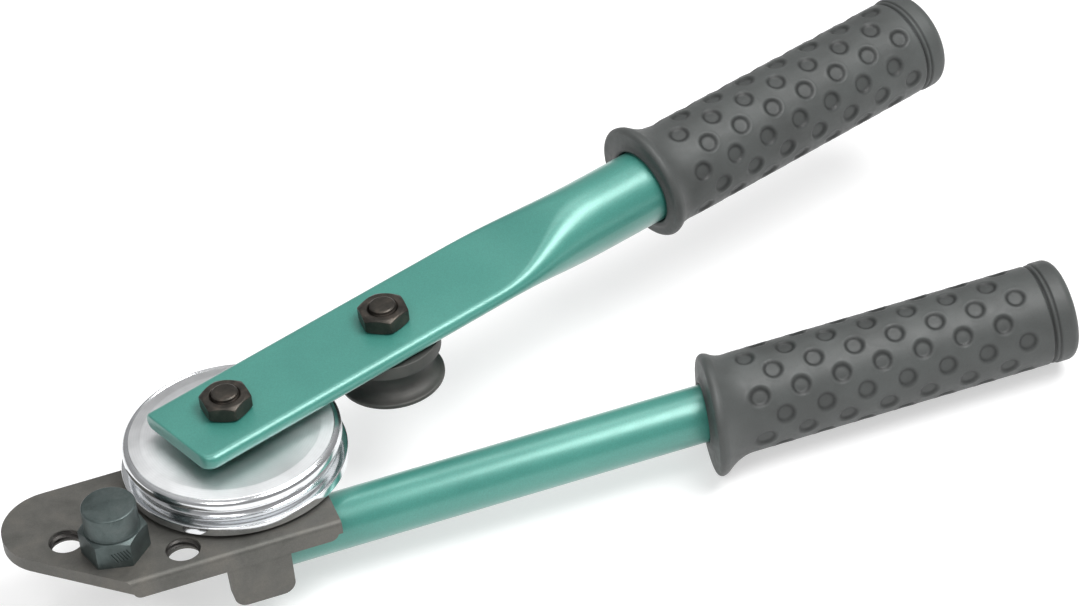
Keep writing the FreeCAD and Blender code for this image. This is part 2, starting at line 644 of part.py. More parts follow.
# -------------------------------------------------------------------- grips
# Moulded handle grips: an off-centre flange at the inner end, tipped a little,
# a collar at its mouth, a short flare, a ring groove near the outer end and a
# closed, rounded cap.
def grip(label, start, end, bore, shift, lean):
    body = new_body(label)
    r0, cap = d["grip_rad"], d["grip_cap_rad"]
    g0 = end - d["grip_cap_long"] - d["grip_ring_wide"]
    g1 = end - d["grip_cap_long"]
    rd = d["grip_end_round"]
    s0 = start - 4.0
    # off-centre flange
    sk = new_sketch(body, "YZ_Plane", start, name="flange_circle", lean=lean)
    add_circle(sk, shift, 0, d["flare_rad"])
    flange = extrude(body, sk, d["flare_thick"], name="flange")
    big = edges(flange, lambda e, m: e.Curve.TypeId == "Part::GeomCircle"
                and abs(e.Curve.Radius - d["flare_rad"].v) < 1e-3)
    dress(body, flange, big, d["flare_round"], name="rim")
    sk = new_sketch(body, "XZ_Plane", name="half_section")
    add_profile(sk, [
        (s0, 0), (end, 0), (end, cap - rd), (end - rd, cap), (g1, cap),
        (g1, r0 - d["grip_ring_deep"]), (g0, r0 - d["grip_ring_deep"]),
        (g0, r0), (start + d["flare_long"], r0), (start + d["flare_thick"], r0 + d["flare_rise"]),
        (s0, r0 + d["flare_rise"]),
    ], {2: (end - rd, cap - rd, rd, True)})
    turn(body, sk, axis="H_Axis", name="sleeve")
    # the sleeve is cut off flush with the tipped flange
    sk = new_sketch(body, "YZ_Plane", start, name="face_circle", lean=lean)
    add_circle(sk, 0, 0, d["flare_rad"] + 12.0)
    extrude(body, sk, 20.0, kind="Pocket", name="face")
    # collar at the mouth
    sk = new_sketch(body, "YZ_Plane", start - d["collar_out"], name="collar_circle", lean=lean)
    add_circle(sk, 0, 0, bore + d["collar_wide"])
    extrude(body, sk, d["collar_out"] + 2.0, name="collar")
    # bore for the tube, closed at the outer end
    sk = new_sketch(body, "YZ_Plane", start - 9.0, name="bore_circle")
    add_circle(sk, 0, 0, bore)
    extrude(body, sk, end - start - d["grip_end_wall"] + 9.0, kind="Pocket",
            name="bore", back=True)
    return body


low_grip = grip("lower_grip", d["low_grip_start"], d["low_grip_end"], d["low_tube_rad"],
                d["low_flare_shift"], (0.147, 0.01))
place(low_grip, 0, d["low_tube_y"], d["low_tube_z"])
up_grip = grip("upper_grip", d["up_grip_start"], d["up_grip_end"], d["lever_tube_rad"],
               d["up_flare_shift"], (0.0, -0.056))
tube_dir = lever_rad - skew
place(up_grip, d["lever_shift"] * -math.sin(tube_dir), d["lever_shift"] * math.cos(tube_dir),
      d["lever_tube_z"], d["lever_angle"] - d["lever_skew"])

doc.recompute()

# ------------------------------------------------------------------- output
nodes = [o for o in doc.Objects if o.TypeId == "PartDesign::Body"]
bad = []
for o in doc.Objects:
    if "Invalid" in o.State or "Error" in o.State:
        bad.append("%s: %s" % (o.Name, o.State))
for o in nodes:
    if o.Shape.isNull() or not o.Shape.isValid() or len(o.Shape.Solids) != 1:
        bad.append("%s: shape not one valid solid" % o.Label)
if bad:
    raise RuntimeError("; ".join(bad))

os.makedirs("parts", exist_ok=True)
for o in nodes:
    o.Shape.exportStep("parts/%s.step" % o.Label)
    b = o.Shape.BoundBox
    print("%-20s %9.1f mm3  x %8.2f %8.2f  y %8.2f %8.2f  z %7.2f %7.2f" % (
        o.Label, o.Shape.Volume, b.XMin, b.XMax, b.YMin, b.YMax, b.ZMin, b.ZMax))
print("%d nodes" % len(nodes))
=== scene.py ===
import bpy, bmesh, math
import numpy as np
from mathutils import Matrix, Vector


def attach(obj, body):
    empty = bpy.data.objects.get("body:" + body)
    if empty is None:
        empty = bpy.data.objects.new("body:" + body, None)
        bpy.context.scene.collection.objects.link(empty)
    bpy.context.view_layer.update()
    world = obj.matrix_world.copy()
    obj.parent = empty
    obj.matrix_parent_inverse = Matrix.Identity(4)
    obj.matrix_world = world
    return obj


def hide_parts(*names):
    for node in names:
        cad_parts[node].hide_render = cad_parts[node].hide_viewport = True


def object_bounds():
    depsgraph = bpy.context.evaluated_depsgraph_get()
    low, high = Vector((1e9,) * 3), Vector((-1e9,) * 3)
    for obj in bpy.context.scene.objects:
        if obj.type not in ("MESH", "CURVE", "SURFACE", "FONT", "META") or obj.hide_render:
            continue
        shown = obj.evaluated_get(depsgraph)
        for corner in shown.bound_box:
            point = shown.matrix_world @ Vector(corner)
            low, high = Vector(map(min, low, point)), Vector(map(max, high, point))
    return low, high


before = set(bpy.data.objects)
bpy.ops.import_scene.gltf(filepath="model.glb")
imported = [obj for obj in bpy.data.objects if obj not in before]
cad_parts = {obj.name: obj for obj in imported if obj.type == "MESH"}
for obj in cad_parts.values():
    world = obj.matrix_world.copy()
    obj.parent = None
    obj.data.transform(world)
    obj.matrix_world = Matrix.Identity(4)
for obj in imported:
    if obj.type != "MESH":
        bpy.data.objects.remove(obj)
cad_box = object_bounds()
MM = 0.001
scene = bpy.context.scene
pi = math.pi


# ------------------------------------------------------------------ camera
# Solved from the photograph; numbers in millimetres and 1080x606 pixels.
AZ, EL, ROLL = map(math.radians, (-14.909875639509412, 38.07605041023524, 6.737687812572997))
DIST, FOCAL, TX, TY = 1705.3312880103306, 5000.046, 236.37185673635665, 464.02666972889665
back = Vector((math.sin(AZ) * math.cos(EL), -math.cos(AZ) * math.cos(EL), math.sin(EL)))
right = Vector((math.cos(AZ), math.sin(AZ), 0))
up = back.cross(right)
r2 = right * math.cos(ROLL) - up * math.sin(ROLL)
u2 = right * math.sin(ROLL) + up * math.cos(ROLL)
cx = (TX - 540) * DIST / FOCAL
cy = -(TY - 303) * DIST / FOCAL
eye = (r2 * cx + u2 * cy - back * DIST) * -1
cam_data = bpy.data.cameras.new("camera")
cam_data.sensor_fit = "HORIZONTAL"
cam_data.sensor_width = 36.0
cam_data.lens = FOCAL * 36.0 / 1080.0
cam_data.clip_start, cam_data.clip_end = 0.05, 30.0
cam = bpy.data.objects.new("camera", cam_data)
scene.collection.objects.link(cam)
rot = Matrix((r2, u2, back)).transposed().to_4x4()
cam.matrix_world = Matrix.Translation(eye * MM) @ rot
scene.camera = cam
scene.view_settings.view_transform = "Standard"
scene.view_settings.look = "None"


# --------------------------------------------------------------- materials
def rgb(r, g, b):
    """A linear colour from its screen values."""
    f = lambda c: ((c / 255 + 0.055) / 1.055) ** 2.4 if c > 10 else c / 255 / 12.92
    return (f(r), f(g), f(b), 1.0)


class Mat:
    """A node material with short ways to add procedural detail."""

    def __init__(self, name, **sockets):
        self.m = bpy.data.materials.new(name)
        self.m.use_nodes = True
        self.t = self.m.node_tree
        self.b = self.t.nodes["Principled BSDF"]
        for k, v in sockets.items():
            self.b.inputs[k.replace("_", " ")].default_value = v
        self.co = self.t.nodes.new("ShaderNodeTexCoord").outputs["Object"]

    def node(self, kind, **props):
        n = self.t.nodes.new(kind)
        for k, v in props.items():
            setattr(n, k, v)
        return n

    def link(self, a, b):
        self.t.links.new(a, b)

    def mapping(self, scale=(1, 1, 1), rot=(0, 0, 0), loc=(0, 0, 0), src=None):
        n = self.node("ShaderNodeMapping")
        n.inputs["Scale"].default_value = scale
        n.inputs["Rotation"].default_value = rot
        n.inputs["Location"].default_value = loc
        self.link(src or self.co, n.inputs["Vector"])
        return n.outputs[0]

    def noise(self, size_mm, detail=3.0, rough=0.55, vec=None, distortion=0.0):
        n = self.node("ShaderNodeTexNoise")
        n.inputs["Scale"].default_value = 1000.0 / size_mm
        n.inputs["Detail"].default_value = detail
        n.inputs["Roughness"].default_value = rough
        n.inputs["Distortion"].default_value = distortion
        self.link(vec or self.co, n.inputs["Vector"])
        return n.outputs["Fac"]

    def voronoi(self, size_mm, vec=None, feature="F1", out="Distance"):
        n = self.node("ShaderNodeTexVoronoi", feature=feature)
        n.inputs["Scale"].default_value = 1000.0 / size_mm
        self.link(vec or self.co, n.inputs["Vector"])
        return n.outputs[out]

    def ramp(self, src, stops, interp="LINEAR"):
        n = self.node("ShaderNodeValToRGB")
        cr = n.color_ramp
        cr.interpolation = interp
        while len(cr.elements) < len(stops):
            cr.elements.new(0.5)
        for e, (p, c) in zip(cr.elements, stops):
            e.position = p
            e.color = c if len(c) == 4 else (*c, 1)
        self.link(src, n.inputs["Fac"])
        return n.outputs["Color"]

    def rng(self, src, a, b, c, d, smooth=False):
        n = self.node("ShaderNodeMapRange")
        n.clamp = True
        if smooth:
            n.interpolation_type = "SMOOTHSTEP"
        for i, v in zip((1, 2, 3, 4), (a, b, c, d)):
            n.inputs[i].default_value = v
        self.link(src, n.inputs[0])
        return n.outputs[0]

    def math(self, op, a, b=None):
        n = self.node("ShaderNodeMath", operation=op)
        for i, v in enumerate((a, b)):
            if v is None:
                continue
            if isinstance(v, (int, float)):
                n.inputs[i].default_value = v
            else:
                self.link(v, n.inputs[i])
        return n.outputs[0]

    def mix(self, fac, a, b, blend="MIX"):
        n = self.node("ShaderNodeMix", data_type="RGBA", blend_type=blend)
        for i, v in ((0, fac), (6, a), (7, b)):
            if isinstance(v, (int, float)):
                n.inputs[i].default_value = v
            elif isinstance(v, tuple):
                n.inputs[i].default_value = v
            else:
                self.link(v, n.inputs[i])
        return n.outputs[2]

    def bump(self, *layers):
        """layers: (height, distance_mm, strength)"""
        prev = None
        for h, dist, strength in layers:
            n = self.node("ShaderNodeBump")
            n.inputs["Strength"].default_value = strength
            n.inputs["Distance"].default_value = dist * MM
            self.link(h, n.inputs["Height"])
            if prev is not None:
                self.link(prev, n.inputs["Normal"])
            prev = n.outputs[0]
        self.link(prev, self.b.inputs["Normal"])

    def color(self, src):
        self.link(src, self.b.inputs["Base Color"])

    def rough(self, src):
        self.link(src, self.b.inputs["Roughness"])


def teal_paint():
    m = Mat("teal_paint", Metallic=0.2, Coat_Weight=0.85, Coat_Roughness=0.32, IOR=1.5)
    cloud = m.noise(42, 2, 0.5)
    fine = m.noise(0.9, 2, 0.6)
    base = m.ramp(cloud, [(0.25, rgb(58, 130, 119)), (0.55, rgb(65, 138, 126)), (0.8, rgb(73, 144, 132))])
    flake = m.voronoi(0.32, out="Color")
    flake_v = m.ramp(flake, [(0.0, (0.86, 0.86, 0.86)), (1.0, (1.12, 1.12, 1.12))])
    col = m.mix(0.8, base, flake_v, "MULTIPLY")
    m.color(col)
    r = m.rng(m.noise(6, 4, 0.6), 0.3, 0.7, 0.3, 0.4)
    m.rough(r)
    m.bump((m.noise(1.6, 2, 0.5), 0.02, 0.35), (m.noise(7, 2, 0.5), 0.05, 0.25), (fine, 0.004, 0.25))
    return m.m


def dark_steel(name, tone, dark, warm, rough=(0.42, 0.58), metal=0.75, scale=1.0, streak=True):
    m = Mat(name, Metallic=metal, IOR=1.5)
    big = m.noise(17 * scale, 5, 0.62, distortion=0.4)
    fine = m.noise(2.1 * scale, 4, 0.65)
    speck = m.noise(0.5 * scale, 2, 0.6)
    c = m.ramp(big, [(0.28, dark), (0.5, tone), (0.74, warm)])
    c = m.mix(0.45, c, m.ramp(fine, [(0.3, (0.8, 0.8, 0.8)), (0.7, (1.15, 1.15, 1.15))]), "MULTIPLY")
    c = m.mix(0.35, c, m.ramp(speck, [(0.35, (0.78, 0.78, 0.78)), (0.65, (1.12, 1.12, 1.12))]), "MULTIPLY")
    m.color(c)
    m.rough(m.rng(m.mix(0.5, big, fine), 0.3, 0.7, *rough))
    layers = [(fine, 0.03, 0.35), (speck, 0.008, 0.5)]
    if streak:
        vec = m.mapping(scale=(0.05, 1.0, 1.0))
        layers.append((m.noise(0.8, 3, 0.6, vec=vec), 0.01, 0.4))
    m.bump(*layers)
    return m.m


def turned(name, tone, rough=(0.2, 0.34), ring_mm=0.45, ring_depth=0.006, centre=(0, 0, 0), aniso=0.55,
           dark=None, metal=1.0):
    """Metal turned on a lathe: fine rings round a vertical axis."""
    m = Mat(name, Metallic=metal)
    m.b.inputs["Anisotropic"].default_value = aniso
    vec = m.mapping(loc=tuple(-c * MM for c in centre))
    w = m.node("ShaderNodeTexWave", wave_type="RINGS", rings_direction="Z", wave_profile="SIN")
    w.inputs["Scale"].default_value = 1000.0 / ring_mm / 20.0 * 2 * pi / 2
    w.inputs["Distortion"].default_value = 0.6
    w.inputs["Detail"].default_value = 2.0
    w.inputs["Detail Scale"].default_value = 0.4
    m.link(vec, w.inputs["Vector"])
    ring = w.outputs["Fac"]
    tan = m.node("ShaderNodeTangent", direction_type="RADIAL", axis="Z")
    m.link(tan.outputs[0], m.b.inputs["Tangent"])
    cloud = m.noise(12, 4, 0.6)
    lo = dark or tuple(0.86 * c for c in tone[:3]) + (1,)
    c = m.ramp(cloud, [(0.3, lo), (0.65, tone)])
    c = m.mix(0.25, c, m.ramp(ring, [(0.0, (0.9, 0.9, 0.9)), (1.0, (1.06, 1.06, 1.06))]), "MULTIPLY")
    m.color(c)
    m.rough(m.rng(m.mix(0.35, m.noise(3, 4, 0.6), ring), 0.2, 0.8, *rough))
    m.bump((ring, ring_depth, 0.25), (m.noise(0.6, 2, 0.6), 0.003, 0.3))
    return m.m


def grip_rubber():
    m = Mat("grip_rubber", Metallic=0.0, IOR=1.48)
    m.b.inputs["Specular IOR Level"].default_value = 0.42
    cloud = m.noise(20, 4, 0.6)
    grain = m.noise(0.55, 3, 0.65)
    c = m.ramp(cloud, [(0.3, rgb(65, 67, 66)), (0.7, rgb(76, 79, 78))])
    c = m.mix(0.4, c, m.ramp(grain, [(0.3, (0.84, 0.84, 0.84)), (0.7, (1.12, 1.12, 1.12))]), "MULTIPLY")
    # painted shade: a per-point attribute darkens the rubber colour down to 0.36 in the dimples, the cap grooves, the
    # end-face hollows and the mouth round the tube
    cav_shade = m.node("ShaderNodeAttribute", attribute_name="cavity_shade").outputs["Fac"]
    c = m.mix(1.0, c, m.ramp(cav_shade, [(0.0, (1, 1, 1)), (1.0, (0.36, 0.36, 0.36))]), "MULTIPLY")
    m.color(c)
    m.rough(m.rng(m.noise(2.5, 4, 0.6), 0.3, 0.7, 0.44, 0.58))
    m.bump((grain, 0.035, 0.5), (m.noise(3, 3, 0.6), 0.04, 0.25))
    return m.m


def bronze():
    m = Mat("bush_bronze", Metallic=1.0, Roughness=0.35)
    c = m.ramp(m.noise(4, 4, 0.6), [(0.3, rgb(150, 112, 62)), (0.7, rgb(196, 156, 96))])
    m.color(c)
    m.rough(m.rng(m.noise(1.2, 3, 0.6), 0.3, 0.7, 0.28, 0.45))
    m.bump((m.noise(0.5, 2, 0.6), 0.006, 0.4))
    return m.m


TEAL = teal_paint()
PLATE = dark_steel("blackened_steel", rgb(99, 98, 94), rgb(84, 84, 80), rgb(112, 109, 103), rough=(0.46, 0.62), metal=0.6)
THREAD = dark_steel("thread_steel", rgb(64, 62, 60), rgb(50, 49, 48), rgb(80, 76, 72), rough=(0.34, 0.5), scale=0.4)
STOP = dark_steel("blue_steel", rgb(84, 94, 93), rgb(68, 77, 76), rgb(97, 105, 104), rough=(0.36, 0.5), scale=0.6, streak=False)
NUT = dark_steel("dark_fastener", rgb(66, 63, 58), rgb(50, 48, 45), rgb(90, 82, 75), rough=(0.34, 0.5), scale=0.35, streak=False)
WELD = dark_steel("weld_steel", rgb(92, 90, 88), rgb(72, 70, 68), rgb(112, 106, 100), scale=0.3, streak=False)
ALU = turned("turned_aluminium", rgb(232, 233, 234), rough=(0.44, 0.54), aniso=0.35)
RIM = turned("polished_rim", rgb(232, 234, 236), rough=(0.12, 0.2), ring_mm=0.3, ring_depth=0.003, aniso=0.3)
RUBBER = grip_rubber()
BRONZE = bronze()


# ------------------------------------------------------------ mesh helpers
def make(name, verts, faces, mats, sharp=32, mat_of=None, extra=None):
    """Mesh object from points in millimetres, with an optional value for each point."""
    me = bpy.data.meshes.new(name)
    me.from_pydata([(x * MM, y * MM, z * MM) for x, y, z in verts], [], faces)
    if extra:
        at = me.attributes.new(extra[0], "FLOAT", "POINT")
        vals = list(extra[1]) + [0.0] * (len(me.vertices) - len(extra[1]))
        at.data.foreach_set("value", vals)
    me.validate()
    bm = bmesh.new()
    bm.from_mesh(me)
    bmesh.ops.remove_doubles(bm, verts=bm.verts, dist=1e-7)
    bmesh.ops.recalc_face_normals(bm, faces=bm.faces)
    bm.to_mesh(me)
    bm.free()
    return finish_mesh(name, me, mats, sharp, mat_of)


def finish_mesh(name, me, mats, sharp=32, mat_of=None):
    mats = mats if isinstance(mats, (list, tuple)) else [mats]
    me.materials.clear()
    for m in mats:
        me.materials.append(m)
    me.polygons.foreach_set("use_smooth", [True] * len(me.polygons))
    if mat_of:
        for p in me.polygons:
            p.material_index = mat_of(p.center / MM, p.normal)
    me.set_sharp_from_angle(angle=math.radians(sharp))
    me.update()
    o = bpy.data.objects.new(name, me)
    scene.collection.objects.link(o)
    return o


def corner(pts, closed=True, seg=5):
    """Rounds the corners of an outline.  pts: (x, y, radius)."""
    out = []
    n = len(pts)
    for i in range(n):
        x, y, r = pts[i] if len(pts[i]) == 3 else (*pts[i], 0)
        if r <= 0 or (not closed and i in (0, n - 1)):
            out.append((x, y))
            continue
        p = np.array((x, y), float)
        a = np.array(pts[i - 1][:2], float) - p
        b = np.array(pts[(i + 1) % n][:2], float) - p
        la, lb = np.linalg.norm(a), np.linalg.norm(b)
        a /= la
        b /= lb
        ang = math.acos(max(-1, min(1, float(a @ b))))
        t = r / math.tan(ang / 2)
        mid = a + b
        mid /= np.linalg.norm(mid)
        c = p + mid * (r / math.sin(ang / 2))
        s, e = p + a * t, p + b * t
        a0 = math.atan2(*(s - c)[::-1])
        a1 = math.atan2(*(e - c)[::-1])
        d = (a1 - a0 + pi) % (2 * pi) - pi
        k = max(2, int(math.ceil(abs(d) / (pi / 2) * seg)))
        for j in range(k + 1):
            q = a0 + d * j / k
            out.append((c[0] + r * math.cos(q), c[1] + r * math.sin(q)))
    return out


def arc(cx_, cy_, r, a0, a1, n):
    """Points on an arc, degrees."""
    return [(cx_ + r * math.cos(math.radians(a0 + (a1 - a0) * i / n)),
             cy_ + r * math.sin(math.radians(a0 + (a1 - a0) * i / n))) for i in range(n + 1)]


def lathe(name, prof, mats, at=(0, 0, 0), seg=128, closed=True, sharp=32, axis="Z", mat_of=None):
    """Turned piece.  prof: (radius, height) round the outline."""
    verts, faces, rows = [], [], []
    for r, z in prof:
        if r < 1e-6:
            rows.append([len(verts)] * seg)
            verts.append((0, 0, z))
        else:
            rows.append(list(range(len(verts), len(verts) + seg)))
            for k in range(seg):
                q = 2 * pi * k / seg
                verts.append((r * math.cos(q), r * math.sin(q), z))
    n = len(prof)
    for i in range(n if closed else n - 1):
        a, b = rows[i], rows[(i + 1) % n]
        if a[0] == a[1] and b[0] == b[1]:
            continue
        for k in range(seg):
            l = (k + 1) % seg
            f = [a[k], a[l], b[l], b[k]]
            g = []
            for v in f:
                if v not in g:
                    g.append(v)
            if len(g) > 2:
                faces.append(g)
    if axis == "X":
        verts = [(z, x, y) for x, y, z in verts]
    verts = [(x + at[0], y + at[1], z + at[2]) for x, y, z in verts]
    return make(name, verts, faces, mats, sharp, mat_of)


def ring(name, r0, r1, z0, z1, mat, at=(0, 0, 0), ch=0.3, seg=96):
    return lathe(name, corner([(r0, z0, ch * .6), (r1, z0, ch), (r1, z1, ch), (r0, z1, ch * .6)], seg=3),
                 mat, at, seg)


def evaluated(o):
    """The object's mesh with its modifiers applied."""
    bpy.context.view_layer.update()
    dg = bpy.context.evaluated_depsgraph_get()
    me = bpy.data.meshes.new_from_object(o.evaluated_get(dg), preserve_all_data_layers=True, depsgraph=dg)
    old = o.data
    o.modifiers.clear()
    o.data = me
    bpy.data.meshes.remove(old)
    return o


def solid(outline, z0, z1, frame_=None):
    """A prism from an outline, millimetres; frame_ maps (x, y, z) to the object's frame."""
    frame_ = frame_ or (lambda x, y, z: (x, y, z))
    n = len(outline)
    v = [frame_(x, y, z0) for x, y in outline] + [frame_(x, y, z1) for x, y in outline]
    f = [list(range(n))[::-1], list(range(n, 2 * n))]
    f += [[i, (i + 1) % n, n + (i + 1) % n, n + i] for i in range(n)]
    me = bpy.data.meshes.new("solid")
    me.from_pydata([(x * MM, y * MM, z * MM) for x, y, z in v], [], f)
    bm = bmesh.new()
    bm.from_mesh(me)
    bmesh.ops.recalc_face_normals(bm, faces=bm.faces)
    bm.to_mesh(me)
    bm.free()
    o = bpy.data.objects.new("solid", me)
    scene.collection.objects.link(o)
    return o


def boolean(o, other, op):
    m = o.modifiers.new("b", "BOOLEAN")
    m.operation = op
    m.solver = "EXACT"
    m.object = other
    evaluated(o)
    me = other.data
    bpy.data.objects.remove(other)
    bpy.data.meshes.remove(me)
    return o


def bevel(o, width, angle=30, seg=3, test=None):
    """Rounds the object's edges: all sharp ones, or those that pass the test."""
    bm = bmesh.new()
    bm.from_mesh(o.data)
    bmesh.ops.remove_doubles(bm, verts=bm.verts, dist=1e-6)
    bmesh.ops.dissolve_limit(bm, angle_limit=math.radians(0.5), verts=bm.verts, edges=bm.edges)
    bm.normal_update()
    pick = []
    for e in bm.edges:
        if len(e.link_faces) != 2:
            continue
        if e.calc_face_angle(0) < math.radians(angle):
            continue
        if test is None or test([v.co / MM for v in e.verts]):
            pick.append(e)
    bmesh.ops.bevel(bm, geom=pick, offset=width * MM, offset_type="OFFSET", segments=seg, profile=0.5,
                    affect="EDGES", clamp_overlap=True)
    bm.to_mesh(o.data)
    bm.free()
    return o


def weighted(o):
    m = o.modifiers.new("w", "WEIGHTED_NORMAL")
    m.keep_sharp = True
    m.weight = 60
    return o


def circle(cx_, cy_, r, n=64, a0=0.0):
    return [(cx_ + r * math.cos(2 * pi * k / n + a0), cy_ + r * math.sin(2 * pi * k / n + a0)) for k in range(n)]


def join(name, objs):
    """One object from several, their materials kept."""
    bm = bmesh.new()
    mats = []
    for o in objs:
        start = len(bm.faces)
        bm.from_mesh(o.data)
        bm.faces.ensure_lookup_table()
        ids = []
        for m in o.data.materials:
            if m not in mats:
                mats.append(m)
            ids.append(mats.index(m))
        for f in bm.faces[start:]:
            f.material_index = ids[min(f.material_index, len(ids) - 1)] if ids else 0
    me = bpy.data.meshes.new(name)
    bm.to_mesh(me)
    bm.free()
    for m in mats:
        me.materials.append(m)
    for o in objs:
        d_ = o.data
        bpy.data.objects.remove(o)
        bpy.data.meshes.remove(d_)
    o = bpy.data.objects.new(name, me)
    scene.collection.objects.link(o)
    return o


def put(o, body, node=None):
    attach(o, body)
    if node:
        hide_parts(*([node] if isinstance(node, str) else node))
    return o


def smoothstep(a, b, x):
    t = np.clip((x - a) / (b - a), 0, 1)
    return t * t * (3 - 2 * t)


# --------------------------------------------------------------- base plate
def base_plate():
    nose = arc(-65.5, -4.5, 18.5, 90, 227.34, 40)
    out = [(24, -44.4)] + arc(14, 4, 10, 0, 90, 12) + nose + [(-49.5, -44.4)]
    plate = solid(out, -5, 0)
    fl = arc(-46.5, -4.2, 3, -180, -90, 8) + arc(19.5, -4.2, 3, -90, 0, 8) + [(22.5, -1.0), (-49.5, -1.0)]
    flange = solid(fl, -44.4, -39.4, lambda x, z, y: (x, y, z))
    boolean(plate, flange, "UNION")
    tb = corner([(-15.9, -24, 4.5), (5.4, -24, 4.5), (5.4, -4.0, 0), (-16.6, -4.0, 0)], seg=8)
    tab = solid(tb, -44.0, -39.0, lambda x, z, y: (x, y, z))
    boolean(plate, tab, "UNION")
    # the bend along the front edge
    bevel(plate, 2.0, 20, 7, lambda c: all(abs(v[1] + 44.4) < 0.01 and abs(v[2]) < 0.01 for v in c))
    for x, y, r in ((-64.2, -13.8, 6.0), (-28.9, -34.8, 6.0), (-49.5, -24.6, 6.0), (0, 0, 5.1)):
        boolean(plate, solid(circle(x, y, r, 72), -12, 6), "DIFFERENCE")
    bevel(plate, 0.4, 32, 3)
    o = finish_mesh("base_plate_skin", plate.data.copy(), PLATE, 50)
    bpy.data.objects.remove(plate)
    weighted(o)
    return o


put(base_plate(), "base", "base_plate")


def thread(name, x, y, r_out, r_in, z0, z1, pitch, mat, inward=True, start=0.0, seg=64):
    """A helical thread ridge, round a hole's wall or a shank."""
    turns = (z1 - z0) / pitch
    n = int(turns * seg)
    verts, faces = [], []
    root, crest = (r_out, r_in) if inward else (r_in, r_out)
    for i in range(n + 1):
        q = 2 * pi * i / seg + start
        z = z0 + pitch * i / seg
        fade = min(1.0, i / (seg * 0.4), (n - i) / (seg * 0.4))
        tip = root + (crest - root) * fade
        w = 0.44 * pitch
        wt = 0.09 * pitch
        for r, dz in ((root, -w), (tip, -wt), (tip, wt), (root, w)):
            verts.append((x + r * math.cos(q), y + r * math.sin(q), z + dz))
    for i in range(n):
        a, b = 4 * i, 4 * (i + 1)
        for k in range(4):
            l = (k + 1) % 4
            faces.append([a + k, a + l, b + l, b + k])
    faces += [[0, 1, 2, 3], [4 * n + k for k in (3, 2, 1, 0)]]
    return make(name, verts, faces, mat, 40)


for nm, x, y, st in (("thread_far", -64.2, -13.8, 0.6), ("thread_near", -28.9, -34.8, 2.1)):
    put(thread(nm, x, y, 6.05, 5.1, -4.2, -0.8, 1.5, THREAD, start=st), "base", None)


# ---------------------------------------------------------------- stop post
def polar_hex(name, af, z0, z1, rc_top, rc_low, bore, mat, at, angle, slope=math.tan(math.radians(30)),
              round_=0.5, low_slope=None, seg=120, countersink=0.0):
    """Hexagon nut or head, its corners cut back by cones above and below."""
    low_slope = slope if low_slope is None else low_slope
    rows = []
    ph = [2 * pi * k / seg for k in range(seg)]

    def rhex(q):
        a = (q % (pi / 3)) - pi / 6
        r = af / 2 / math.cos(a)
        rmax = af / 2 / math.cos(pi / 6)
        # a little roundness at the corners
        return min(r, rmax - round_ * (1 / math.cos(pi / 6) - 1) * 2.0)

    hex_r = [rhex(q) for q in ph]
    def row(fn):
        rows.append([(fn(i)[0], fn(i)[1]) for i in range(seg)])
    if bore > 0:
        row(lambda i: (bore + 0.0, z0 + 0.4))
        row(lambda i: (bore + 0.4, z0))
    row(lambda i: (min(rc_low, hex_r[i]), z0))
    row(lambda i: (hex_r[i], z0 + max(0.0, hex_r[i] - rc_low) * low_slope))
    row(lambda i: (hex_r[i], z1 - max(0.0, hex_r[i] - rc_top) * slope))
    row(lambda i: (min(rc_top, hex_r[i]), z1))
    if bore > 0:
        row(lambda i: (bore + countersink, z1))
        row(lambda i: (bore, z1 - countersink))
    verts, faces, ids = [], [], []
    ca, sa = math.cos(math.radians(angle)), math.sin(math.radians(angle))
    for rw in rows:
        ids.append(list(range(len(verts), len(verts) + seg)))
        for i, (r, z) in enumerate(rw):
            x, y = r * math.cos(ph[i]), r * math.sin(ph[i])
            verts.append((x * ca - y * sa + at[0], x * sa + y * ca + at[1], z + at[2]))
    for a, b in zip(ids[:-1], ids[1:]):
        for k in range(seg):
            l = (k + 1) % seg
            faces.append([a[k], a[l], b[l], b[k]])
    if bore > 0:
        a, b = ids[-1], ids[0]
        for k in range(seg):
            l = (k + 1) % seg
            faces.append([a[k], a[l], b[l], b[k]])
    else:
        faces.append(ids[0][::-1])
        faces.append(ids[-1])
    o = make(name, verts, faces, mat, 24)
    return o


def soften(o, width, angle=24, seg=2, sharp=60):
    m = o.modifiers.new("bev", "BEVEL")
    m.width = width * MM
    m.segments = seg
    m.limit_method = "ANGLE"
    m.angle_limit = math.radians(angle)
    evaluated(o)
    me = o.data
    for a in ("sharp_edge",):
        if a in me.attributes:
            me.attributes.remove(me.attributes[a])
    me.polygons.foreach_set("use_smooth", [True] * len(me.polygons))
    me.set_sharp_from_angle(angle=math.radians(sharp))
    weighted(o)
    evaluated(o)
    return o


SX, SY = -49.5, -24.6


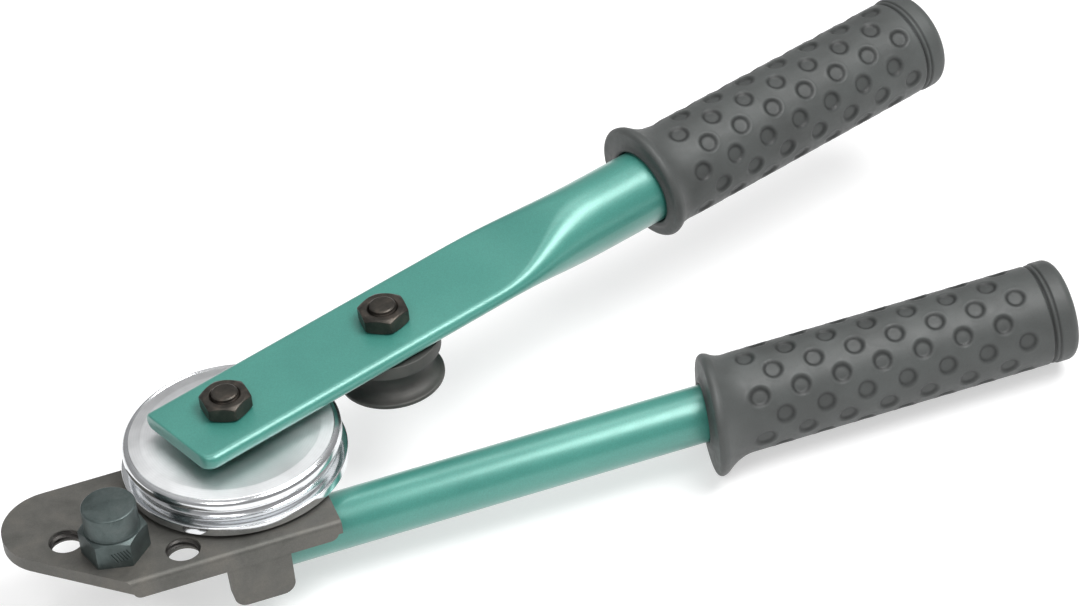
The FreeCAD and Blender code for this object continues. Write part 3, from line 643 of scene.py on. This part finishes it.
def stop_post():
    hexa = polar_hex("stop_hex", 20.5, 0.0, 10.0, 10.15, 11.4, 0, STOP, (SX, SY, 0), -15.0, low_slope=0.5,
                     slope=0.55, round_=0.1)
    # slanted strokes cut into the front flat
    fa = math.radians(255.0)
    nrm, tan = (math.cos(fa), math.sin(fa)), (-math.sin(fa), math.cos(fa))
    if tan[0] < 0:
        tan = (-tan[0], -tan[1])
    for k in range(6):
        u, v = 0.2 + 1.05 * k, 4.1 + 0.28 * k
        ln, wd, tilt = 4.2, 0.3, math.radians(-62)
        du, dv = math.cos(tilt), math.sin(tilt)
        quad = [(u + a * du * ln / 2 - b * dv * wd / 2, v + a * dv * ln / 2 + b * du * wd / 2)
                for a, b in ((-1, -1), (1, -1), (1, 1), (-1, 1))]
        cut = solid(quad, 10.25 - 0.38, 11.0, lambda uu, vv, w: (SX + nrm[0] * w + tan[0] * uu,
                                                                SY + nrm[1] * w + tan[1] * uu, vv))
        boolean(hexa, cut, "DIFFERENCE")
    soften(hexa, 0.16)
    prof = corner([(0, 9.5, 0), (9.6, 9.5, 0), (9.6, 10.1, 0), (9.4, 10.6, 0.3), (9.4, 19.3, 0.7), (0, 19.3, 0)],
                  closed=False, seg=5)
    post = lathe("stop_round", prof, STOP, (SX, SY, 0), 128, closed=False)
    shank = lathe("stop_shank", corner([(0, 0.2, 0), (5.95, 0.2, 0), (5.95, -7.0, 0.8), (0, -7.0, 0)], closed=False),
                  STOP, (SX, SY, 0), 96, closed=False)
    return join("stop_post_skin", [hexa, post, shank])


put(stop_post(), "base", "stop_post")


# ------------------------------------------------------------ lower handle
put(lathe("lower_tube_skin", corner([(8, -6, .3), (10, -6, .4), (10, 288.9, .4), (8, 288.9, .3)], seg=3), TEAL,
          (0, -26, -15), 128, axis="X"), "base", "lower_tube")


def weld(name, side):
    """A fillet weld bead with its ripples."""
    n, m_ = 150, 14
    verts, faces = [], []
    for i in range(n + 1):
        x = -6 + 29 * i / n
        end = min(1.0, (i / n) / 0.05 + 0.25, (1 - i / n) / 0.05 + 0.25)
        rip = 0.5 + 0.5 * math.sin(2 * pi * x / 1.9)
        for j in range(m_ + 1):
            t = j / m_
            ax, az = 10.0, -5.0
            bx, bz = 8.5, -9.695
            px, pz = ax + (bx - ax) * t, az + (bz - az) * t
            bul = math.sin(pi * t) * (0.25 + 0.42 * rip ** 0.6) * end
            ln = math.hypot(bx - ax, bz - az)
            nx, nz = -(bz - az) / ln, (bx - ax) / ln
            verts.append((x, -26 + side * (px + nx * bul - (1 - end) * 1.2), -0.0 + pz + nz * bul))
        verts.append((x, -26 + side * 6.5, -7.62))
        verts.append((x, -26 + side * 3.5, -5.62))
        verts.append((x, -26 + side * 3.5, -5.0))
    w = m_ + 4
    for i in range(n):
        for j in range(w):
            k = (j + 1) % w
            faces.append([i * w + j, i * w + k, (i + 1) * w + k, (i + 1) * w + j])
    faces += [list(range(w)), [n * w + j for j in range(w)][::-1]]
    return make(name, verts, faces, WELD, 60)


put(weld("weld_bead_front", -1), "base", "tube_weld_front")
put(weld("weld_bead_back", 1), "base", "tube_weld_back")


# ------------------------------------------------------------------- wheel
def forming_wheel():
    g = arc(35.9, 7.85, 3.15, -90, -270, 20)
    prof = [(8, 1.3), (8.3, 1.0)] + corner([(20, 1.0, 0), (38.9, 1.0, .7), (38.9, 4.7, .45), (36.5, 4.7, 0)],
                                           closed=False, seg=5)
    prof += g
    prof += corner([(36.5, 11.0, 0), (37.7, 11.0, .45), (37.7, 11.8, 0)], closed=False, seg=5)
    # side, rounded rim and sloped bright shoulder
    prof += [(37.7, 12.3)] + arc(35.2 + (37.7 - 35.2) - 2.5, 12.3, 2.5, 12, 80, 8) + \
        [(35.2, 14.5 + 0.0), (33.4, 14.75), (31.4, 14.95), (31.0, 15.0), (30.6, 15.0), (20, 15.0), (8.4, 15.0),
         (8.0, 14.6)]
    clean = []
    for p in prof:
        if not clean or math.hypot(p[0] - clean[-1][0], p[1] - clean[-1][1]) > 0.02:
            clean.append(p)
    return lathe("forming_wheel_skin", clean, [ALU, RIM], (0, 0, 0), 256, sharp=28,
                 mat_of=lambda c, nrm: 1 if (math.hypot(c[0], c[1]) > 35.3 and c[2] > 1.05) or
                 (math.hypot(c[0], c[1]) > 31.0 and 1.05 < c[2] < 13.5) else 0)


put(forming_wheel(), "wheel", "forming_wheel")
put(ring("wheel_bush_skin", 5.05, 8, 1, 15, BRONZE), "wheel", "wheel_bush")
put(ring("thrust_washer_skin", 5.3, 14, 0, 0.95, NUT, ch=0.2), "base", "wheel_thrust_washer")
put(ring("pivot_washer_skin", 5.25, 10, -7, -5, NUT), "base", "pivot_washer")
put(ring("pivot_spacer_skin", 5.0, 10, 15.05, 18.95, NUT), "base", "pivot_spacer")


def bolt_end(name, at, z0, z1, mat):
    """The shank with a chamfered, threaded end."""
    shank = lathe(name, corner([(0, z0, 0), (4.6, z0, 0), (4.6, z1 - 0.35, 0.1), (4.05, z1, 0.12), (0, z1, 0)],
                               closed=False), mat, at, 72, closed=False)
    th = thread(name + "_t", at[0], at[1], 4.98, 4.55, z1 - 7.5, z1 - 0.75, 1.5, mat, inward=False, seg=48)
    return [shank, th]


def pivot_bolt():
    head = polar_hex("pivot_head", 16, -13.4, -7.0, 8.0, 7.55, 0, NUT, (0, 0, 0), 12.0, round_=0.3)
    soften(head, 0.25)
    mid = lathe("pivot_mid", [(0, -7.1), (5.0, -7.1), (5.0, 25.2), (0, 25.2)], NUT, (0, 0, 0), 96, closed=False)
    return join("pivot_bolt_skin", [head, mid] + bolt_end("pivot_end", (0, 0, 0), 25.0, 32.1, NUT))


put(pivot_bolt(), "base", "pivot_bolt")


def nut(name, z0, z1, at, angle):
    o = polar_hex(name, 16, z0, z1, 7.55, 7.55, 5.0, NUT, at, angle, round_=0.3, countersink=0.55)
    return soften(o, 0.22)


put(nut("pivot_nut_skin", 24.9, 30.9, (0, 0, 0), -84), "base", "pivot_nut")


# ------------------------------------------------------------------- lever
LA = math.radians(19.93)
SK = math.radians(1.343)
RX, RY = 66.9 * math.cos(LA) + 0.84 * math.sin(LA), 66.9 * math.sin(LA) - 0.84 * math.cos(LA)


def lever_frame(x, y, z):
    """From the flat's own frame (along, across, up) to the object's."""
    return (x * math.cos(LA) - y * math.sin(LA), x * math.sin(LA) + y * math.cos(LA), z)


def upper_lever():
    verts, faces = [], []
    xs = []
    # the rounded end, then the flat, the neck and the tube
    for t in np.linspace(0, 1, 5):
        xs.append(-21.4 + 0.6 * (1 - math.cos(t * pi / 2)))
    xs += list(np.linspace(-20.8, -16.9, 16)[1:])
    xs += list(np.linspace(-16.9, 96, 24)[1:])
    xs += list(np.linspace(96, 166, 90)[1:])
    xs += list(np.linspace(166, 303, 12)[1:])
    na, nf = 14, 10
    for x in xs:
        k = float(smoothstep(104, 158, x))
        k = 0.5 * k + 0.5 * k * k * (3 - 2 * k)
        h = 2.9 + (13.5 - 2.9) * k
        w = 18.7 + (13.5 - 18.7) * k
        e = 0.0
        if x < -20.8:
            u = (x + 21.4) / 0.6
            e = 0.6 * (1 - math.sqrt(max(0.0, 1 - (1 - u) ** 2)))
        slide = 0.0
        if x < -16.9:
            uf, ub = min(4.5, -16.9 - x), min(1.5, max(0.0, -19.9 - x))
            cf, cb = 4.5 - math.sqrt(max(0.0, 20.25 - uf * uf)), 1.5 - math.sqrt(max(0.0, 2.25 - ub * ub))
            w -= (cf + cb) / 2
            slide = (cf - cb) / 2
        w -= e
        h -= e
        rc = max(0.3, min(h - 1e-3, 2.8 + (13.5 - 2.8) * k - e))
        yc = (0.5 - x * math.tan(SK)) * k + slide
        zc = 21.9 + (22.0 - 21.9) * k
        turn_ = -SK * k
        sec = []
        for j, (sx, sy, a0) in enumerate(((1, 1, 0), (-1, 1, 90), (-1, -1, 180), (1, -1, 270))):
            ccx, ccy = sx * (w - rc), sy * (h - rc)
            for i in range(na + 1):
                a = math.radians(a0 + 90 * i / na)
                sec.append((ccx + rc * math.cos(a), ccy + rc * math.sin(a)))
            # the run to the next corner
            nx_, ny_ = ((-1, 1), (-1, -1), (1, -1), (1, 1))[j]
            ex, ey = nx_ * (w - rc), ny_ * (h - rc)
            a = math.radians(a0 + 90)
            p0 = sec[-1]
            p1 = (ex + rc * math.cos(a), ey + rc * math.sin(a))
            m_ = nf if j in (0, 2) else 1
            for i in range(1, m_):
                sec.append((p0[0] + (p1[0] - p0[0]) * i / m_, p0[1] + (p1[1] - p0[1]) * i / m_))
        for y, z in sec:
            px = x - y * math.sin(turn_)
            py = yc + y * math.cos(turn_)
            verts.append(lever_frame(px, py, zc + z))
    n = len(verts) // len(xs)
    for i in range(len(xs) - 1):
        for j in range(n):
            k = (j + 1) % n
            faces.append([i * n + j, i * n + k, (i + 1) * n + k, (i + 1) * n + j])
    faces.append(list(range(n))[::-1])
    last = (len(xs) - 1) * n
    faces.append([last + j for j in range(n)])
    o = make("upper_lever_skin", verts, faces, TEAL, 50)
    return o


put(upper_lever(), "lever", "upper_lever")
put(ring("lever_bush_skin", 5.05, 7.5, 19.0, 24.8, BRONZE, ch=0.25), "lever", "lever_bush")
put(ring("roller_spacer_skin", 5.0, 10, 18.25, 19.0, NUT, (RX, RY, 0), ch=0.15), "lever", "roller_spacer")
put(nut("roller_nut_skin", 24.8, 30.8, (RX, RY, 0), -90), "lever", "roller_nut")


def roller_bolt():
    """Low round head with a hexagon socket in its underside."""
    seg = 96
    hexr = [4.0 / math.cos(((2 * pi * k / seg) % (pi / 3)) - pi / 6) for k in range(seg)]
    rows = [[(5.0, 6.4)] * seg, [(9.0, 6.4)] * seg, [(9.0, 1.7)] * seg, [(8.6, 1.3)] * seg,
            [(h + 0.35, 1.3) for h in hexr], [(h, 1.65) for h in hexr], [(h, 4.5) for h in hexr], [(0.01, 4.9)] * seg]
    verts, faces, ids = [], [], []
    for rw in rows:
        ids.append(list(range(len(verts), len(verts) + seg)))
        for i, (r, z) in enumerate(rw):
            q = 2 * pi * i / seg
            verts.append((RX + r * math.cos(q), RY + r * math.sin(q), z))
    for a, b in zip(ids[:-1], ids[1:]):
        for k in range(seg):
            l = (k + 1) % seg
            faces.append([a[k], a[l], b[l], b[k]])
    head = make("roller_head", verts, faces, NUT, 30)
    mid = lathe("roller_mid", [(5.0, 6.4), (5.0, 25.2), (0, 25.2)], NUT, (RX, RY, 0), seg, closed=False)
    return join("roller_bolt_skin", [head, mid] + bolt_end("roller_end", (RX, RY, 0), 25.0, 32.1, NUT))


put(roller_bolt(), "lever", "roller_bolt")

ROLLER = turned("roller_steel", rgb(84, 83, 80), rough=(0.5, 0.62), ring_mm=0.6, ring_depth=0.012,
                centre=(RX, RY, 0), aniso=0.25, dark=rgb(68, 68, 66), metal=0.3)


def press_roller():
    prof = [(9.8, 0.7), (10.2, 0.3)] + corner([(12, 0.3, 0), (18.55, 0.3, .4), (18.55, 1.7, .25), (18.1, 2.0, 0)],
                                              closed=False, seg=4)
    prof += arc(18.55, 7.5, 5.6, 258, 102, 30)
    prof += corner([(18.1, 13.0, 0), (18.55, 13.3, .25), (18.55, 18.2, .45), (12, 18.2, 0)], closed=False, seg=4)
    prof += [(8.4, 18.2), (8.0, 17.8), (8.0, 6.5), (9.8, 6.5)]
    clean = []
    for p in prof:
        if not clean or math.hypot(p[0] - clean[-1][0], p[1] - clean[-1][1]) > 0.02:
            clean.append(p)
    return lathe("press_roller_skin", clean, ROLLER, (RX, RY, 0), 160)


put(press_roller(), "roller", "press_roller")
put(ring("roller_bush_skin", 5.05, 8, 6.5, 18.2, BRONZE, (RX, RY, 0)), "roller", "roller_bush")


# -------------------------------------------------------------------- grips
def grip(name, origin, angle, start, end, tube, shift, lean, rows_at, even, odd, pitch, seam):
    """Moulded grip with dimples, an off-centre tipped flange and a ringed cap.

    shift moves the flange (across, up); lean is its rise along the grip for
    each mm across and up; seam is the angle of the mould's parting line.
    """
    L = end - start
    xs = [1.8 * (1 - math.cos(t)) for t in np.linspace(0, pi / 2, 9)]
    xs += list(np.linspace(1.8, 3.6, 7)[1:]) + list(np.arange(4.0, L - 12.0, 0.42))
    xs += list(np.arange(L - 12.0, L - 3.4, 0.16)) + [L - 3.4 + 3.4 * math.sin(t) for t in np.linspace(0, pi / 2, 16)]
    na = 264
    th = np.linspace(0, 2 * pi, na, endpoint=False)
    verts, faces, cavity_shade = [], [], []
    R0, RF, FL = 17.8, 21.4, 13.0
    g0 = L - 9.4

    def outer(x):
        """Radius before dimples, and how far the flange's shift counts."""
        r, sh = R0, 0.0
        if x < FL:
            if x < 3.6:
                r = RF - 1.8 + math.sqrt(max(0.0, 1.8 ** 2 - (1.8 - x) ** 2))
                if x > 1.8:
                    r = max(r, RF - 0.55 * ((x - 1.8) / 1.8) ** 1.6)
            else:
                t = (x - 3.6) / (FL - 3.6)
                r = R0 + (RF - 0.55 - R0) * (1 - t) ** 2.3
            sh = float(1 - smoothstep(3.0, FL, x))
        for gx, dep, wd in ((g0, 0.8, 0.55), (g0 + 1.85, 0.5, 0.4)):
            r -= dep * math.exp(-((x - gx) / wd) ** 2)
        if x > g0 + 1.2:
            r += 0.3 * float(smoothstep(g0 + 1.2, g0 + 2.2, x))
        if x > L - 3.4:
            u = (x - (L - 3.4)) / 3.4
            r = 18.1 - 3.4 + 3.4 * math.sqrt(max(0.0, 1 - u * u))
        return r, sh

    dimples = []
    for i, a in enumerate(rows_at):
        first = even if i % 2 == 0 else odd
        for k in range(7):
            dimples.append((first + pitch * k, math.radians(a)))
    dx = np.array([d_[0] for d_ in dimples])
    da = np.array([d_[1] for d_ in dimples])
    R, D = 3.9, 0.95
    cs, sn = np.cos(th), np.sin(th)
    for x in xs:
        r, sh = outer(x)
        rr = np.full(na, r)
        # painted shade: darkening values for the cap's two ring grooves and for the rim and floor of each dimple,
        # stored per point for the rubber colour
        groove_shade = 0.0 if x < L - 12 else min(1.0, math.exp(-((x - g0) / 0.55) ** 2) +
                                               0.8 * math.exp(-((x - g0 - 1.85) / 0.35) ** 2))
        cav_shade = np.full(na, groove_shade)
        near = np.abs(dx - x) < R * 1.25
        for x0, a0 in zip(dx[near], da[near]):
            diff = (th - a0 + pi) % (2 * pi) - pi
            rho = np.sqrt((x - x0) ** 2 + (diff * R0) ** 2) / R
            rr -= D * (1 - smoothstep(0.55, 1.0, rho)) * (rho < 1)
            rr += 0.1 * np.exp(-((rho - 1.08) / 0.1) ** 2)
            cav_shade = np.maximum(cav_shade, np.exp(-((rho - 0.78) / 0.17) ** 2) * 0.8 + (rho < 0.78) * 0.28)
        # parting line of the mould
        if x > 4 and x < L - 1:
            diff = (th - math.radians(seam) + pi) % (2 * pi) - pi
            rr += 0.12 * np.exp(-(diff * R0 / 0.45) ** 2)
        y = rr * cs + shift[0] * sh
        z = rr * sn + shift[1] * sh
        fade = float(1 - smoothstep(6.0, FL + 4, x))
        xx = start + x + (lean[0] * y + lean[1] * z) * fade
        verts += list(zip(xx.tolist(), y.tolist(), z.tolist()))
        cavity_shade += cav_shade.tolist()
    n = len(xs)

    def band(a, b):
        for k in range(na):
            l = (k + 1) % na
            faces.append([a[k], a[l], b[l], b[k]])

    for i in range(n - 1):
        band([i * na + k for k in range(na)], [(i + 1) * na + k for k in range(na)])
    # outer end face, slightly domed, with a small hollow in the middle; the third value of each ring is painted shade
    # in the dip and the hollow
    prev = [(n - 1) * na + k for k in range(na)]
    for r, dz, shade_val in ((13.2, 0.0, 0.0), (12.6, -0.35, 0.5), (12.0, 0.0, 0.0), (8.0, 0.15, 0.0), (4.0, 0.2, 0.0),
                      (3.4, 0.0, 0.5), (1.2, -0.5, 0.6)):
        cur = list(range(len(verts), len(verts) + na))
        verts += [(start + L - 0.25 + dz, float(r * c), float(r * q)) for c, q in zip(cs, sn)]
        cavity_shade += [shade_val] * na
        band(prev, cur)
        prev = cur
    faces.append(prev[::-1])
    # inner face: from the rim in to a raised collar, then the bore; the last value of each ring is painted shade,
    # darkest round the tube at the bore
    prev = list(range(na))
    for r, x, s_, shade_val in ((RF - 2.6, 0.0, 0.9, 0.0), (tube + 3.4, -0.25, 0.25, 0.1), (tube + 2.6, -0.6, 0.1, 0.25),
                         (tube + 2.0, -1.05, 0.0, 0.35), (tube + 1.4, -1.2, 0.0, 0.5), (tube + 0.8, -1.05, 0.0, 0.8),
                         (tube + 0.4, -0.6, 0.0, 1.0), (tube + 0.25, 0.6, 0.0, 1.0), (tube + 0.05, 4.0, 0.0, 1.0),
                         (tube + 0.05, 12.0, 0.0, 1.0)):
        cur = list(range(len(verts), len(verts) + na))
        y, z = r * cs + shift[0] * s_, r * sn + shift[1] * s_
        xx = start + x + lean[0] * y + lean[1] * z
        verts += list(zip(xx.tolist(), y.tolist(), z.tolist()))
        cavity_shade += [shade_val] * na
        band(prev, cur)
        prev = cur
    faces.append(prev[::-1])
    ca, sa = math.cos(angle), math.sin(angle)
    verts = [(origin[0] + x * ca - y * sa, origin[1] + x * sa + y * ca, origin[2] + z) for x, y, z in verts]
    return make(name, verts, faces, RUBBER, 55, extra=("cavity_shade", cavity_shade))


low_rows = [-49.2 + 27.0 * k for k in range(13)]
put(grip("lower_grip_skin", (0, -26, -15), 0.0, 160.5, 293.9, 10.0, (-2.28, 0.1), (0.147, 0.01), low_rows,
         23.3, 15.9, 15.05, 292.8), "base", "lower_grip")
ta = LA - SK
up_rows = [-33.0 + 27.0 * k for k in range(13)]
put(grip("upper_grip_skin", (-0.5 * math.sin(ta), 0.5 * math.cos(ta), 22.0), ta, 180.8, 308.5, 13.5, (1.92, 0.2),
         (0.0, -0.056), up_rows, 22.1, 15.1, 14.8, 309.0), "lever", "upper_grip")


# ------------------------------------------------------- floor and lights
low = min(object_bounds()[0][2], cad_box[0][2])
me = bpy.data.meshes.new("floor")
S = 4.0
me.from_pydata([(-S, -S, low - 0.0002), (S, -S, low - 0.0002), (S, S, low - 0.0002), (-S, S, low - 0.0002)], [],
               [(0, 1, 2, 3)])
floor = bpy.data.objects.new("floor", me)
scene.collection.objects.link(floor)
fm = Mat("floor_white", Roughness=0.9)
fm.b.inputs["Specular IOR Level"].default_value = 0.1
fm.b.inputs["Emission Color"].default_value = (1, 1, 1, 1)
fm.b.inputs["Emission Strength"].default_value = 0.52
fm.color(fm.ramp(fm.noise(400, 2, 0.5), [(0.3, (0.55, 0.55, 0.55)), (0.7, (0.57, 0.57, 0.57))]))
me.materials.append(fm.m)

world = bpy.data.worlds.new("studio")
scene.world = world
world.use_nodes = True
wt = world.node_tree
bg = wt.nodes["Background"]
tc = wt.nodes.new("ShaderNodeTexCoord")
sep = wt.nodes.new("ShaderNodeSeparateXYZ")
wt.links.new(tc.outputs["Generated"], sep.inputs[0])
wr = wt.nodes.new("ShaderNodeValToRGB")
wr.color_ramp.interpolation = "EASE"
els = wr.color_ramp.elements
els[0].position, els[0].color = 0.0, (0.30, 0.30, 0.30, 1)
els[1].position, els[1].color = 1.0, (0.62, 0.62, 0.62, 1)
e2 = els.new(0.45)
e2.color = (0.34, 0.34, 0.345, 1)
wt.links.new(sep.outputs["Z"], wr.inputs["Fac"])
wt.links.new(wr.outputs["Color"], bg.inputs["Color"])
bg.inputs["Strength"].default_value = 1.0


def area(name, direction, dist, target, size_x, size_y, power, color=(1, 1, 1)):
    """A soft box: direction is (azimuth from the front, elevation), degrees."""
    a, e = map(math.radians, direction)
    t = Vector(target)
    loc = t + Vector((math.sin(a) * math.cos(e), -math.cos(a) * math.cos(e), math.sin(e))) * dist
    ld = bpy.data.lights.new(name, "AREA")
    ld.shape = "RECTANGLE"
    ld.size, ld.size_y = size_x, size_y
    ld.energy = power
    ld.color = color
    lo = bpy.data.objects.new(name, ld)
    scene.collection.objects.link(lo)
    lo.matrix_world = Matrix.Translation(loc) @ (t - loc).to_track_quat("-Z", "Y").to_matrix().to_4x4()
    return lo


mid = (0.1, -0.01, 0)
area("key", (54, 62), 1.3, mid, 0.85, 0.60, 16.0)
area("front", (-38, 48), 1.4, mid, 0.6, 0.5, 4.5)
area("back", (160, 68), 1.4, mid, 0.8, 0.4, 3.0)
